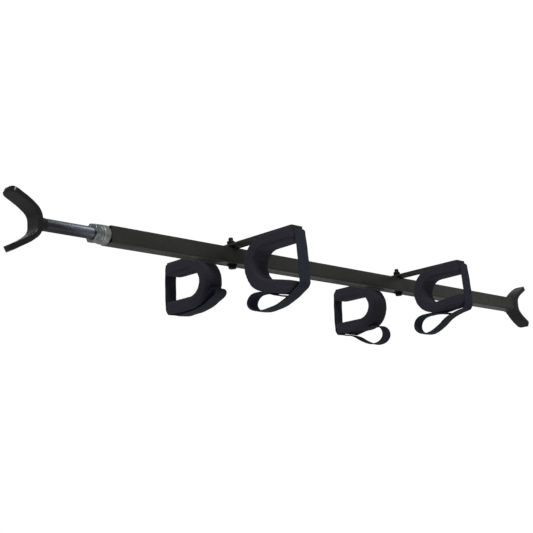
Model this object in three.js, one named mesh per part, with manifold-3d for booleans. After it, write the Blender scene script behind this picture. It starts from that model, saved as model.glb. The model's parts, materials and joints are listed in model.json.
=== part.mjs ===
// Expanding cargo bar with two swivelling cross arms, each carrying a pair of padded strap cradles.
// Millimetres. The origin is the centre of the fixed saddle's seat; +X points out of that seat, away
// from the bar, +Z is up and +Y makes the frame right-handed. The tube and arms lie at negative X.
import * as THREE from 'three';
import { mergeVertices } from 'three/addons/utils/BufferGeometryUtils.js';
import Module from 'manifold-3d';

const wasm = await Module();
wasm.setup();

// ---------------------------------------------------------------- driving dimensions
const GAP = 0.3; // space left between pieces that touch in the real object
const ROUND = 24; // segments in a full circle of a large round part
const SMALL_ROUND = 14; // segments in a full circle of a fastener
const FAR = 300; // further than a cutting tool needs to reach

// main tube: 1.25 in square steel tube
const TUBE_SIDE = 31.75;
const TUBE_WALL = 2;
const TUBE_CORNER = 3;
const TUBE_LENGTH = 1341;

// saddles: 1.25 x 0.25 in flat bar bent to a flared U, then dipped in vinyl
const SADDLE_WIDTH = 31.75;
const SADDLE_THICK = 6.35;
const DIP = 1; // thickness of the vinyl skin
const SEAT_HALF = 4; // half the height of the flat in the middle of the seat
const NOSE_RADIUS = 26; // first, tight bend beside the flat
const NOSE_TURN = 50; // degrees turned by the tight bend
const FLARE_RADIUS = 120; // second, gentle bend
const FLARE_TURN = 12; // degrees turned by the gentle bend
const WING_STRAIGHT = 22; // straight end of each wing
const TIP_ROUND_WIDTH = 14; // how far the wing tips round off, across the bar
const TIP_ROUND_HEIGHT = 14; // the same, in height

// screw end: 7/8 in threaded rod, hex nut, thrust washer and collar
const ROD_RADIUS = 11.1;
const ROD_LENGTH = 250;
const SCREW_SEAT_TO_TUBE = 152; // from the screw saddle's seat to the tube's end, as set at rest
const COLLAR_RADIUS = 17.8;
const COLLAR_LENGTH = 14.6;
const COLLAR_STANDOFF = 1.2; // open slit between the collar's flange and the tube's end
const SPIGOT_RADIUS = 13.5; // round part of the collar inside the tube, which leaves the tube's corners open
const SPIGOT_LENGTH = 22;
const THRUST_WASHER_RADIUS = 17;
const THRUST_WASHER_THICK = 4;
const NUT_ACROSS_FLATS = 33.3;
const NUT_LENGTH = 12.5;
const RUNNING_CLEARANCE = 0.25; // between the rod and each bore it passes
const GUIDE_LENGTH = 16;
const NUT_TURN = 15; // degrees the nut is turned from having a corner on top
const GUIDE_INSET = 3; // from the guide to the rod's inner end
const SLEEVE_LENGTH = 13; // how far the vinyl dip runs up the rod or the tube
const TUBE_FILLET = [9.6, 6]; // the dip's flare from tube to saddle: along the bar, and outward
const ROD_FILLET = 4.5; // the same from rod to saddle, equal both ways

// cross arms: 1.25 x 3/16 in flat bar, 14 in long, on a 3/8 in pivot bolt
const ARM_POSITIONS = [309, 847]; // pivot centres, from the tube's screw end
const ARM_LENGTH = 355.6;
const ARM_WIDTH = 31.75;
const ARM_THICK = 4.76;
const ARM_CORNER = 4;
const BOLT_RADIUS = 4.76;
const BOLT_HOLE_RADIUS = 5.2;
const HEX_ACROSS_FLATS = 14.3;
const BOLT_HEAD_HEIGHT = 5.5;
const PIVOT_NUT_HEIGHT = 7;
const BOLT_END = 40; // height of the bolt's domed end
const BOLT_DOME = 2; // height of that dome
const HEX_CHAMFER_SLOPE = 0.6; // rise of a hexagon's end chamfer for each mm it goes inward
const WASHER_RADIUS = 10.3;
const WASHER_THICK = 1.6;

// cradles: a C-shaped steel hook under each arm end, a foam pad round it and a strap across its mouth
const HOOK_WIDTH = 25.4;
const HOOK_THICK = 4;
const CRADLE_CENTRE_OUT = 104; // centre of the C, outward from the pivot
const CRADLE_CENTRE_UP = -33;
const CRADLE_RADIUS = 31; // inside the pad
const PAD_THICK = 17;
const PAD_WIDTH = 46;
const PAD_TIP_OUT = 180; // the open end of the pad, outward from the pivot
const PAD_TIP_SLOPE = [7, 10]; // its top corner is cut back for the strap: outward, and in height
const PAD_EDGE = 5; // rounding of the pad's long edges
const PAD_BACK_START = 102; // degrees round the C where the pad's back leaves the arm
const LIP_TIP_ROUND = 5; // rounding of the lower lip's outer corners
const HOOK_FLANGE_START = 112; // the flange lies flat under the arm between these distances from the pivot
const HOOK_FLANGE_END = 146;
const HOOK_BACK_OUT = 62; // the hook's innermost point, on its centre line
const HOOK_LIP_END = 158;
const STRAP_WIDTH = 30;
const STRAP_THICK = 2;
const STRAP_TOP_OUT = 183; // the strap's run across the mouth: outward from the pivot at the top
const STRAP_LOW_OUT = 186.5; // and at the bottom
const STRAP_TOP_END = 152;
const STRAP_MIDDLE_UP = -45; // where the run across the mouth has moved out to STRAP_LOW_OUT
const STRAP_TOP_BEND = 8; // radius where the strap turns down past the arm tip
const STRAP_LOW_BEND = [20, 16]; // how far it takes to turn in under the lip, outward and in height
const RIVET_RADIUS = 2.4;
const RIVET_HEAD_RADIUS = 4.6;
const RIVET_HEAD_HEIGHT = 2.2;
const RIVET_TAIL_RADIUS = 3.7;
const RIVET_TAIL_HEIGHT = 1.2;

// ---------------------------------------------------------------- sizes that follow from those
const DIP_HALF = SADDLE_THICK / 2 + DIP;
const TUBE_RIGHT = -2 * DIP_HALF + DIP - GAP; // the tube butts against the bent bar, under the dip
const TUBE_LEFT = TUBE_RIGHT - TUBE_LENGTH;
const SCREW_SEAT = TUBE_LEFT - SCREW_SEAT_TO_TUBE;
const TUBE_HALF = TUBE_SIDE / 2;
const ARM_BOTTOM = TUBE_HALF + WASHER_THICK + 2 * GAP;
const ARM_TOP = ARM_BOTTOM + ARM_THICK;
const HOOK_FLANGE_UP = ARM_BOTTOM - GAP - HOOK_THICK / 2;
const STRAP_ANCHOR_UP = ARM_BOTTOM - GAP - STRAP_THICK / 2;
const HOOK_FLANGE_BOTTOM = HOOK_FLANGE_UP - HOOK_THICK / 2;
const STRAP_BOTTOM = STRAP_ANCHOR_UP - STRAP_THICK / 2;
const ROD_START = SCREW_SEAT + 2 * DIP_HALF - DIP + GAP; // the rod butts against its bent bar
const COLLAR_END = TUBE_LEFT - COLLAR_STANDOFF;
const COLLAR_START = COLLAR_END - COLLAR_LENGTH;
const WASHER_END = COLLAR_START - GAP;
const WASHER_START = WASHER_END - THRUST_WASHER_THICK;
const NUT_START = WASHER_START - GAP - NUT_LENGTH;
const degrees = Math.PI / 180;

// each cradle's rivets: their distance from the pivot, and the face that their tail is set against
const RIVETS = [
  { name: 'hook_rivet_inner', out: 116, below: HOOK_FLANGE_BOTTOM },
  { name: 'hook_rivet_outer', out: 136, below: HOOK_FLANGE_BOTTOM },
  { name: 'strap_rivet', out: 163, below: STRAP_BOTTOM },
];

// ---------------------------------------------------------------- looks
const black_coat = { color: '#26261f', roughness: 0.5, metalness: 0.3 };
const black_vinyl = { color: '#17171a', roughness: 0.3, metalness: 0 };
const zinc = { color: '#b4b9bb', roughness: 0.35, metalness: 0.9 };
const yellow_zinc = { color: '#b3b29a', roughness: 0.35, metalness: 0.9 };
const dark_zinc = { color: '#55554f', roughness: 0.45, metalness: 0.8 };
const nylon = { color: '#1e1e1e', roughness: 0.5, metalness: 0 };
const foam_cover = { color: '#1b1b22', roughness: 0.9, metalness: 0 };
const webbing = { color: '#202430', roughness: 0.85, metalness: 0 };

// ---------------------------------------------------------------- solids
const part = new THREE.Group();
part.name = 'cargo_bar';

function toSolid(geometry) {
  const plain = geometry.clone();
  plain.deleteAttribute('normal');
  plain.deleteAttribute('uv');
  const merged = mergeVertices(plain, 1e-4);
  return new wasm.Manifold(new wasm.Mesh({
    numProp: 3,
    vertProperties: new Float32Array(merged.attributes.position.array),
    triVerts: new Uint32Array(merged.index.array),
  }));
}

function toGeometry(solid) {
  const mesh = solid.getMesh();
  const geometry = new THREE.BufferGeometry();
  geometry.setAttribute('position', new THREE.BufferAttribute(mesh.vertProperties, 3));
  geometry.setIndex(new THREE.BufferAttribute(mesh.triVerts, 1));
  geometry.computeVertexNormals();
  return geometry;
}

function add(name, geometry, look) {
  const mesh = new THREE.Mesh(geometry, new THREE.MeshStandardMaterial(look));
  mesh.name = name;
  part.add(mesh);
}

// Adds `base` with the later solids cut out of it.
function addCut(name, base, cutters, look) {
  const cut = cutters.reduce((solid, cutter) => solid.subtract(toSolid(cutter)), toSolid(base));
  add(name, toGeometry(cut), look);
}

function turned(profile, segments) {
  return new THREE.LatheGeometry(profile.map(([r, z]) => new THREE.Vector2(r, z)), segments);
}

// A solid of revolution about Z. The profile is [radius, height] pairs, bottom to top.
function turnedAboutZ(profile, x, y, segments) {
  return turned(profile, segments).rotateX(Math.PI / 2).translate(x, y, 0);
}

// A solid of revolution about X. The profile is [radius, X] pairs, in order of rising X.
function turnedAboutX(profile, segments = ROUND) {
  return turned(profile, segments).rotateZ(-Math.PI / 2);
}

function rod(radius, x0, x1, segments = ROUND) {
  return turnedAboutX([[0, x0], [radius, x0], [radius, x1], [0, x1]], segments);
}

function pin(radius, z0, z1, x, y, segments = SMALL_ROUND) {
  return turnedAboutZ([[0, z0], [radius, z0], [radius, z1], [0, z1]], x, y, segments);
}

function ring(inner, outer, z0, z1, x, y, segments = SMALL_ROUND) {
  return turnedAboutZ([[inner, z0], [outer, z0], [outer, z1], [inner, z1], [inner, z0]], x, y, segments);
}

function box(x0, x1, y0, y1, z0, z1) {
  return new THREE.BoxGeometry(x1 - x0, y1 - y0, z1 - z0)
    .translate((x0 + x1) / 2, (y0 + y1) / 2, (z0 + z1) / 2);
}

function roundedRectangle(halfWidth, halfHeight, roundWidth, roundHeight = roundWidth) {
  const shape = new THREE.Shape();
  const corners = [[1, 1], [-1, 1], [-1, -1], [1, -1]];
  corners.forEach(([sx, sy], i) => {
    const onSide = [sx * halfWidth, sy * (halfHeight - roundHeight)];
    const onEnd = [sx * (halfWidth - roundWidth), sy * halfHeight];
    const [from, to] = sx * sy > 0 ? [onSide, onEnd] : [onEnd, onSide];
    if (i === 0) shape.moveTo(...from);
    else shape.lineTo(...from);
    shape.quadraticCurveTo(sx * halfWidth, sy * halfHeight, ...to);
  });
  return shape;
}

// The closed outline of a strip of even thickness along a centre line of [a, b] points.
function stripShape(line, thickness) {
  const points = line.map(([a, b]) => new THREE.Vector2(a, b));
  const offset = (i, side) => {
    const before = points[i].clone().sub(points[Math.max(i - 1, 0)]);
    const after = points[Math.min(i + 1, points.length - 1)].clone().sub(points[i]);
    if (i === 0) before.copy(after);
    if (i === points.length - 1) after.copy(before);
    const along = before.normalize().add(after.normalize()).normalize();
    const mitre = along.dot(after);
    const across = new THREE.Vector2(-along.y, along.x);
    return points[i].clone().addScaledVector(across, (side * thickness) / 2 / mitre);
  };
  const left = points.map((_, i) => offset(i, 1));
  const right = points.map((_, i) => offset(i, -1));
  return new THREE.Shape([...left, ...right.reverse()]);
}

// Sweeps an outline in the X-Z plane to both sides of Y = 0.
function acrossY(shape, width, curveSegments = 4) {
  const toWorld = new THREE.Matrix4().makeBasis(
    new THREE.Vector3(1, 0, 0), new THREE.Vector3(0, 0, 1), new THREE.Vector3(0, -1, 0));
  return new THREE.ExtrudeGeometry(shape, { depth: width, bevelEnabled: false, curveSegments })
    .translate(0, 0, -width / 2).applyMatrix4(toWorld);
}

// Sweeps an outline in the Y-Z plane along X, from x0 to x1, with its edges rounded by `edge`.
function alongX(shape, x0, x1, edge = 0) {
  const toWorld = new THREE.Matrix4().makeBasis(
    new THREE.Vector3(0, 1, 0), new THREE.Vector3(0, 0, 1), new THREE.Vector3(1, 0, 0));
  const bevel = edge > 0
    ? { bevelEnabled: true, bevelSize: edge, bevelThickness: edge, bevelOffset: -edge, bevelSegments: 3 }
    : { bevelEnabled: false };
  return new THREE.ExtrudeGeometry(shape, { depth: x1 - x0 - 2 * edge, curveSegments: 4, ...bevel })
    .translate(0, 0, x0 + edge).applyMatrix4(toWorld);
}

// Points on an arc or ellipse, in degrees, both ends included.
function arc(centreA, centreB, radiusA, radiusB, from, to, steps) {
  const points = [];
  for (let i = 0; i <= steps; i += 1) {
    const angle = (from + ((to - from) * i) / steps) * degrees;
    points.push([centreA + radiusA * Math.cos(angle), centreB + radiusB * Math.sin(angle)]);
  }
  return points;
}

// A hexagonal prism along Z with both ends chamfered round, standing at (0, 0, z0).
function hexPrism(acrossFlats, height, z0) {
  const cornerRadius = acrossFlats / Math.sqrt(3);
  const prism = toSolid(new THREE.CylinderGeometry(cornerRadius, cornerRadius, height, 6)
    .rotateX(Math.PI / 2).translate(0, 0, z0 + height / 2));
  const flat = acrossFlats / 2;
  const outside = cornerRadius + GAP;
  const chamfer = (cornerRadius - flat) * HEX_CHAMFER_SLOPE;
  const top = z0 + height;
  const trim = turnedAboutZ(
    [[0, z0], [flat, z0], [outside, z0 + chamfer], [outside, top - chamfer], [flat, top], [0, top]],
    0, 0, ROUND);
  return toGeometry(prism.intersect(toSolid(trim)));
}

// ---------------------------------------------------------------- main tube
// The outline of the tube's inside, shrunk by `clearance`.
function insideTube(clearance) {
  const half = TUBE_HALF - TUBE_WALL - clearance;
  return roundedRectangle(half, half, TUBE_CORNER - TUBE_WALL);
}

function addMainTube() {
  const outline = roundedRectangle(TUBE_HALF, TUBE_HALF, TUBE_CORNER);
  outline.holes.push(insideTube(0));
  const tube = alongX(outline, TUBE_LEFT, TUBE_RIGHT);
  const boltHoles = ARM_POSITIONS.map((position) => (
    pin(BOLT_HOLE_RADIUS, -TUBE_SIDE, TUBE_SIDE, TUBE_LEFT + position, 0)));
  addCut('main_tube', tube, boltHoles, black_coat);
}

// ---------------------------------------------------------------- saddles
// Half of the bent centre line, from the middle of the seat to one wing tip, as [depth, height].
function saddleHalfLine() {
  const line = [[0, 0], [0, SEAT_HALF]];
  const bends = [
    { radius: NOSE_RADIUS, turn: NOSE_TURN, steps: 6 },
    { radius: FLARE_RADIUS, turn: FLARE_TURN, steps: 2 },
  ];
  let heading = 90;
  let [depth, height] = [0, SEAT_HALF];
  bends.forEach(({ radius, turn, steps }) => {
    for (let i = 0; i < steps; i += 1) {
      const chord = 2 * radius * Math.sin((turn / steps / 2) * degrees);
      heading -= turn / steps / 2;
      depth += chord * Math.cos(heading * degrees);
      height += chord * Math.sin(heading * degrees);
      heading -= turn / steps / 2;
      line.push([depth, height]);
    }
  });
  line.push([depth + WING_STRAIGHT * Math.cos(heading * degrees),
    height + WING_STRAIGHT * Math.sin(heading * degrees)]);
  return line;
}

// The bent bar grown by `grow` on every face. It opens towards +X with its centre line's flat at X = 0.
function bentBar(grow) {
  const half = saddleHalfLine();
  const tip = half[half.length - 1];
  const before = half[half.length - 2];
  const length = Math.hypot(tip[0] - before[0], tip[1] - before[1]);
  const stretched = tip.map((value, i) => value + ((value - before[i]) * grow) / length);
  const upper = [...half.slice(1, -1), stretched];
  const lower = upper.map(([depth, height]) => [depth, -height]).reverse();
  const outline = stripShape([...lower, ...upper], SADDLE_THICK + 2 * grow);
  const strip = acrossY(outline, SADDLE_WIDTH + 2 * grow);
  const tipHeight = stretched[1] + SADDLE_THICK / 2 + grow;
  const plan = roundedRectangle(SADDLE_WIDTH / 2 + grow, tipHeight, TIP_ROUND_WIDTH, TIP_ROUND_HEIGHT);
  return toSolid(strip).intersect(toSolid(alongX(plan, -FAR, FAR)));
}

// `direction` is +1 for a saddle that opens towards +X and -1 for one that opens towards -X.
function placeSaddle(solid, seat, direction) {
  const geometry = toGeometry(solid);
  if (direction < 0) geometry.rotateZ(Math.PI);
  return geometry.translate(seat - direction * DIP_HALF, 0, 0);
}

function addSaddle(name, seat, direction, sleeve, bore) {
  add(`${name}_core`, placeSaddle(bentBar(0), seat, direction), dark_zinc);
  const skin = bentBar(DIP).add(toSolid(sleeve)).subtract(bentBar(GAP)).subtract(toSolid(bore));
  add(`${name}_dip`, placeSaddle(skin, seat, direction), black_vinyl);
}

// Both sleeves run on to the bent bar's centre line, so that they close on its curved back.
function addFixedSaddle() {
  const back = -SADDLE_THICK / 2;
  const half = TUBE_HALF + DIP;
  const [flareLength, flareRise] = TUBE_FILLET;
  const upper = [[back - SLEEVE_LENGTH, half], [back - flareLength, half],
    [SADDLE_THICK / 2, half + flareRise], [0, half]];
  const lower = upper.map(([depth, height]) => [depth, -height]).reverse();
  const outline = new THREE.Shape([...upper, ...lower].map(([a, b]) => new THREE.Vector2(a, b)));
  const room = TUBE_HALF + GAP;
  const tubeSpace = box(-FAR, back, -room, room, -room, room);
  addSaddle('fixed_saddle', 0, 1, acrossY(outline, 2 * half), tubeSpace);
}

function addScrewSaddle() {
  const back = -SADDLE_THICK / 2;
  const skin = ROD_RADIUS + DIP;
  const sleeve = turnedAboutX([
    [0, back - SLEEVE_LENGTH], [skin, back - SLEEVE_LENGTH], [skin, back - ROD_FILLET],
    [skin + ROD_FILLET, back], [skin + ROD_FILLET, 0], [0, 0]]);
  const rodSpace = rod(ROD_RADIUS + GAP, -FAR, back);
  addSaddle('screw_saddle', SCREW_SEAT, -1, sleeve, rodSpace);
}

// ---------------------------------------------------------------- screw end
// What the rod passes through is cut with this.
function rodBore() {
  return rod(ROD_RADIUS + RUNNING_CLEARANCE, SCREW_SEAT, TUBE_RIGHT);
}

function addScrewRod() {
  add('screw_rod', rod(ROD_RADIUS, ROD_START, ROD_START + ROD_LENGTH), zinc);
}

function addThrustCollar() {
  const bevel = 1;
  const flange = turnedAboutX([
    [0, COLLAR_START], [COLLAR_RADIUS - bevel, COLLAR_START], [COLLAR_RADIUS, COLLAR_START + bevel],
    [COLLAR_RADIUS, COLLAR_END - bevel], [COLLAR_RADIUS - bevel, COLLAR_END], [0, COLLAR_END]]);
  const spigot = rod(SPIGOT_RADIUS, COLLAR_START + bevel, TUBE_LEFT + SPIGOT_LENGTH);
  addCut('thrust_collar', toGeometry(toSolid(flange).add(toSolid(spigot))), [rodBore()], yellow_zinc);
}

function addThrustWasher() {
  addCut('thrust_washer', rod(THRUST_WASHER_RADIUS, WASHER_START, WASHER_END), [rodBore()], yellow_zinc);
}

function addAdjustingNut() {
  const nut = hexPrism(NUT_ACROSS_FLATS, NUT_LENGTH, 0)
    .rotateY(Math.PI / 2).rotateX(NUT_TURN * degrees).translate(NUT_START, 0, 0);
  addCut('adjusting_nut', nut, [rodBore()], zinc);
}

function addRodGuide() {
  const end = ROD_START + ROD_LENGTH - GUIDE_INSET;
  const guide = alongX(insideTube(2 * GAP), end - GUIDE_LENGTH, end);
  addCut('rod_guide', guide, [rod(ROD_RADIUS + GAP, SCREW_SEAT, TUBE_RIGHT)], nylon);
}

// ---------------------------------------------------------------- cross arms and their pivots
function addCrossArm(name, x) {
  const blank = new THREE.ExtrudeGeometry(
    roundedRectangle(ARM_WIDTH / 2, ARM_LENGTH / 2, ARM_CORNER),
    { depth: ARM_THICK, bevelEnabled: false, curveSegments: 3 }).translate(x, 0, ARM_BOTTOM);
  const holes = [pin(BOLT_HOLE_RADIUS, 0, FAR, x, 0)];
  [-1, 1].forEach((side) => RIVETS.forEach((rivet) => holes.push(rivetHole(rivet, x, side))));
  addCut(`cross_arm_${name}`, blank, holes, black_coat);
}

// The arm turns on a hex bolt from below, with a spacer under the arm and a nut above it.
function addPivot(name, x) {
  const bore = BOLT_RADIUS + GAP;
  const washer = (z0, z1) => ring(bore, WASHER_RADIUS, z0, z1, x, 0, ROUND);
  const bottom = -TUBE_HALF - GAP - WASHER_THICK;
  const top = ARM_TOP + GAP;
  add(`pivot_spacer_${name}`, washer(TUBE_HALF + GAP, ARM_BOTTOM - GAP), nylon);
  add(`pivot_washer_bottom_${name}`, washer(bottom, bottom + WASHER_THICK), dark_zinc);
  add(`pivot_washer_top_${name}`, washer(top, top + WASHER_THICK), dark_zinc);

  const headTop = bottom - GAP;
  const domeStart = BOLT_END - BOLT_DOME;
  const shank = turnedAboutZ([
    [0, headTop - 1], [BOLT_RADIUS, headTop - 1], [BOLT_RADIUS, domeStart],
    [BOLT_RADIUS * 0.7, domeStart + BOLT_DOME * 0.75], [0, BOLT_END]], x, 0, SMALL_ROUND);
  const head = hexPrism(HEX_ACROSS_FLATS, BOLT_HEAD_HEIGHT, headTop - BOLT_HEAD_HEIGHT).translate(x, 0, 0);
  add(`pivot_bolt_${name}`, toGeometry(toSolid(head).add(toSolid(shank))), dark_zinc);

  const hex = hexPrism(HEX_ACROSS_FLATS, PIVOT_NUT_HEIGHT, top + WASHER_THICK + GAP).translate(x, 0, 0);
  addCut(`pivot_nut_${name}`, hex, [pin(bore, 0, FAR, x, 0)], dark_zinc);
}

// ---------------------------------------------------------------- cradles
// All cradle outlines are [out, up]: out is the distance from the pivot along the arm.
// `droop` is how many degrees the lower lip hangs below level, and `sag` how far the C has opened downward.
function lowerLip(start, length, droop) {
  return [start[0] + length * Math.cos(droop * degrees), start[1] - length * Math.sin(droop * degrees)];
}

function stepTowards(from, to, distance) {
  const length = Math.hypot(to[0] - from[0], to[1] - from[1]);
  return from.map((value, i) => value + ((to[i] - value) * distance) / length);
}

function hookLine({ droop, sag }) {
  const backHalf = HOOK_FLANGE_UP - CRADLE_CENTRE_UP;
  const lowerOut = CRADLE_CENTRE_OUT - HOOK_BACK_OUT;
  const lowerHalf = CRADLE_RADIUS + PAD_THICK / 2;
  const upperOut = HOOK_FLANGE_START - HOOK_BACK_OUT;
  const upper = arc(HOOK_FLANGE_START, CRADLE_CENTRE_UP, upperOut, backHalf, 90, 180, 7);
  const lower = arc(CRADLE_CENTRE_OUT, CRADLE_CENTRE_UP, lowerOut, lowerHalf + sag, 180, 270 - droop, 7);
  const bottom = lower[lower.length - 1];
  return [[HOOK_FLANGE_END, HOOK_FLANGE_UP], ...upper, ...lower.slice(1),
    lowerLip(bottom, HOOK_LIP_END - bottom[0], droop)];
}

function padOutline({ droop, sag }) {
  const outer = CRADLE_RADIUS + PAD_THICK;
  const top = ARM_BOTTOM - GAP;
  const centre = [CRADLE_CENTRE_OUT, CRADLE_CENTRE_UP];
  const back = [...arc(...centre, outer, outer, PAD_BACK_START, 180, 6),
    ...arc(...centre, outer, outer + sag, 180, 270 - droop, 7).slice(1)];
  const inside = [...arc(...centre, CRADLE_RADIUS, CRADLE_RADIUS + sag, 270 - droop, 180, 6),
    ...arc(...centre, CRADLE_RADIUS, CRADLE_RADIUS, 180, 90, 6).slice(1)];
  const lipLength = PAD_TIP_OUT - CRADLE_CENTRE_OUT;
  const outerTip = lowerLip(back[back.length - 1], lipLength, droop);
  const innerTip = lowerLip(inside[0], lipLength, droop);
  const topInside = CRADLE_CENTRE_UP + CRADLE_RADIUS;
  return [
    [PAD_TIP_OUT, top - PAD_TIP_SLOPE[1]], [PAD_TIP_OUT - PAD_TIP_SLOPE[0], top],
    [CRADLE_CENTRE_OUT + 2, top], ...back,
    stepTowards(outerTip, back[back.length - 1], LIP_TIP_ROUND),
    stepTowards(outerTip, innerTip, LIP_TIP_ROUND),
    innerTip, ...inside, [PAD_TIP_OUT, topInside],
  ];
}

// The strap's run: from under the arm tip, down across the cradle's mouth and round below its lip
// to the seam where its pull loop starts. `low` is the height where it turns in under the lip.
function strapRun(low, seam) {
  const [lowOut, lowUp] = STRAP_LOW_BEND;
  const topCentre = [STRAP_TOP_OUT - STRAP_TOP_BEND, STRAP_ANCHOR_UP - STRAP_TOP_BEND];
  return [
    [STRAP_TOP_END, STRAP_ANCHOR_UP], [topCentre[0] - 2, STRAP_ANCHOR_UP],
    ...arc(...topCentre, STRAP_TOP_BEND, STRAP_TOP_BEND, 60, 0, 3),
    [STRAP_LOW_OUT, STRAP_MIDDLE_UP],
    ...arc(STRAP_LOW_OUT - lowOut, low, lowOut, lowUp, 0, -60, 4), seam,
  ];
}

// How each cradle and its strap lie. `loop` is the pull loop's centre line, a smooth curve that leaves
// the seam and comes back to it.
const drooping = {
  low: -84,
  droop: 13,
  sag: 5,
  loop: [
    [152, -110], [126, -119], [98, -123], [72, -122], [55, -115], [48, -105],
    [52, -95], [64, -88.5], [84, -88], [104, -94], [126, -102], [152, -110],
  ],
};
const hanging = {
  low: -74,
  droop: 0,
  sag: 0,
  loop: [
    [146, -94], [128, -102], [112, -112], [96, -120.5], [78, -125], [60, -123], [48, -113],
    [46, -101], [53, -90], [68, -83.7], [86, -82.9], [108, -84.5], [128, -89], [146, -94],
  ],
};
const tucked = {
  low: -72,
  droop: 0,
  sag: 0,
  loop: [
    [150, -90.5], [125, -90.5], [98, -88.7], [77, -84.5], [57, -77], [41, -70], [35.5, -63], [39, -56.5],
    [48, -54.5], [57, -58.5], [65, -66.5], [75, -75.5], [89, -82], [104, -84.3], [126, -85.8], [150, -90.5],
  ],
};

// The loop is made of two overlapping half ribbons, because one outline would cross itself at the seam.
function strapSolid({ low, loop }, side, x) {
  const place = (points) => points.map(([out, up]) => [side * out, up]);
  const ribbon = (points) => toSolid(
    alongX(stripShape(place(points), STRAP_THICK), x - STRAP_WIDTH / 2, x + STRAP_WIDTH / 2));
  const curve = new THREE.SplineCurve(loop.map(([a, b]) => new THREE.Vector2(a, b)));
  const smooth = curve.getPoints(30).map((point) => [point.x, point.y]);
  const half = smooth.length / 2;
  return ribbon(strapRun(low, loop[0]))
    .add(ribbon(smooth.slice(0, half + 1)))
    .add(ribbon(smooth.slice(half - 1)));
}

function rivet({ out, below }, x, side) {
  const head = ARM_TOP + GAP / 2;
  const tail = below - GAP / 2;
  return turnedAboutZ([
    [0, tail - RIVET_TAIL_HEIGHT], [RIVET_TAIL_RADIUS, tail - RIVET_TAIL_HEIGHT], [RIVET_TAIL_RADIUS, tail],
    [RIVET_RADIUS, tail], [RIVET_RADIUS, head], [RIVET_HEAD_RADIUS, head],
    [RIVET_TAIL_RADIUS, head + RIVET_HEAD_HEIGHT * 0.7], [0, head + RIVET_HEAD_HEIGHT]],
  x, side * out, SMALL_ROUND);
}

function rivetHole({ out }, x, side) {
  return pin(RIVET_RADIUS + GAP, 0, FAR, x, side * out, 10);
}

// Room in the pad for something of this half width that lies under the arm, from `near` to `far` outward.
function roomUnderArm(x, side, halfWidth, near, far, bottom) {
  const [y0, y1] = [side * near, side * far].sort((a, b) => a - b);
  return box(x - halfWidth - GAP, x + halfWidth + GAP, y0, y1, bottom - GAP, ARM_TOP);
}

function addCradle(name, x, side, lie) {
  const place = (points) => points.map(([out, up]) => [side * out, up]);
  const halfHook = HOOK_WIDTH / 2;
  const halfPad = PAD_WIDTH / 2;
  const halfStrap = STRAP_WIDTH / 2;
  const hook = (grow) => alongX(
    stripShape(place(hookLine(lie)), HOOK_THICK + 2 * grow), x - halfHook - grow, x + halfHook + grow);
  const holes = RIVETS.map((each) => rivetHole(each, x, side));
  addCut(`hook_${name}`, hook(0), holes.slice(0, 2), dark_zinc);
  add(`strap_${name}`, toGeometry(strapSolid(lie, side, x).subtract(toSolid(holes[2]))), webbing);

  const outline = new THREE.Shape(place(padOutline(lie)).map(([a, b]) => new THREE.Vector2(a, b)));
  const flangeRoom = roomUnderArm(
    x, side, halfHook, HOOK_FLANGE_START - 4, HOOK_FLANGE_END + GAP, HOOK_FLANGE_BOTTOM);
  const strapRoom = roomUnderArm(x, side, halfStrap, STRAP_TOP_END - 1, FAR, STRAP_BOTTOM);
  const tailRoom = RIVETS.map(({ out, below }) => (
    pin(RIVET_HEAD_RADIUS, below - RIVET_TAIL_HEIGHT - 2 * GAP, ARM_TOP, x, side * out)));
  addCut(`pad_${name}`, alongX(outline, x - halfPad, x + halfPad, PAD_EDGE),
    [hook(GAP), flangeRoom, strapRoom, ...tailRoom], foam_cover);

  RIVETS.forEach((each) => add(`${each.name}_${name}`, rivet(each, x, side), dark_zinc));
}

// ---------------------------------------------------------------- the assembly
const CRADLES = [
  { name: '1a', arm: 0, side: -1, lie: drooping },
  { name: '1b', arm: 0, side: 1, lie: tucked },
  { name: '2a', arm: 1, side: -1, lie: hanging },
  { name: '2b', arm: 1, side: 1, lie: hanging },
];
const armX = ARM_POSITIONS.map((position) => TUBE_LEFT + position);

addMainTube();
addFixedSaddle();
addScrewSaddle();
addScrewRod();
addThrustCollar();
addThrustWasher();
addAdjustingNut();
addRodGuide();
armX.forEach((x, index) => {
  addCrossArm(index + 1, x);
  addPivot(index + 1, x);
});
CRADLES.forEach(({ name, arm, side, lie }) => addCradle(name, armX[arm], side, lie));

export default part;
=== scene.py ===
import json
import math

import bmesh
import bpy
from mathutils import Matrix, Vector


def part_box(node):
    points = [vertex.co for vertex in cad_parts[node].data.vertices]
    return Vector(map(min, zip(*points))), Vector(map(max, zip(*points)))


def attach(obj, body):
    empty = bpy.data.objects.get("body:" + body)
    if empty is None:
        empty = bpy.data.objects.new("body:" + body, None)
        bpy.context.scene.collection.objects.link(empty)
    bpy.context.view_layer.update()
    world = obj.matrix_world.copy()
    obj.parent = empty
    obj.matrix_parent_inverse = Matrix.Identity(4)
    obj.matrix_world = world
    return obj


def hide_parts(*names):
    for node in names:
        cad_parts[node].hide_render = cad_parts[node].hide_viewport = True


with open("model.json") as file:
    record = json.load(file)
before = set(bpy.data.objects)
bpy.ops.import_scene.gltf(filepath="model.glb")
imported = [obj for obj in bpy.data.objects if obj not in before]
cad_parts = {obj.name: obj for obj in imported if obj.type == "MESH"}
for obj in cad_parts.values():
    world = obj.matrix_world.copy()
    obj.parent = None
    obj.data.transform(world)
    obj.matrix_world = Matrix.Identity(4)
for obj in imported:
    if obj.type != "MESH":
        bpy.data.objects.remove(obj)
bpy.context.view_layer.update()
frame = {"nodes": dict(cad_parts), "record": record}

# An expanding cargo bar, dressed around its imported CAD: the dipped saddles, the screw, the foam pads and
# the webbing straps are modelled here, and every other piece keeps its CAD shape.
MM = 0.001

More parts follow.
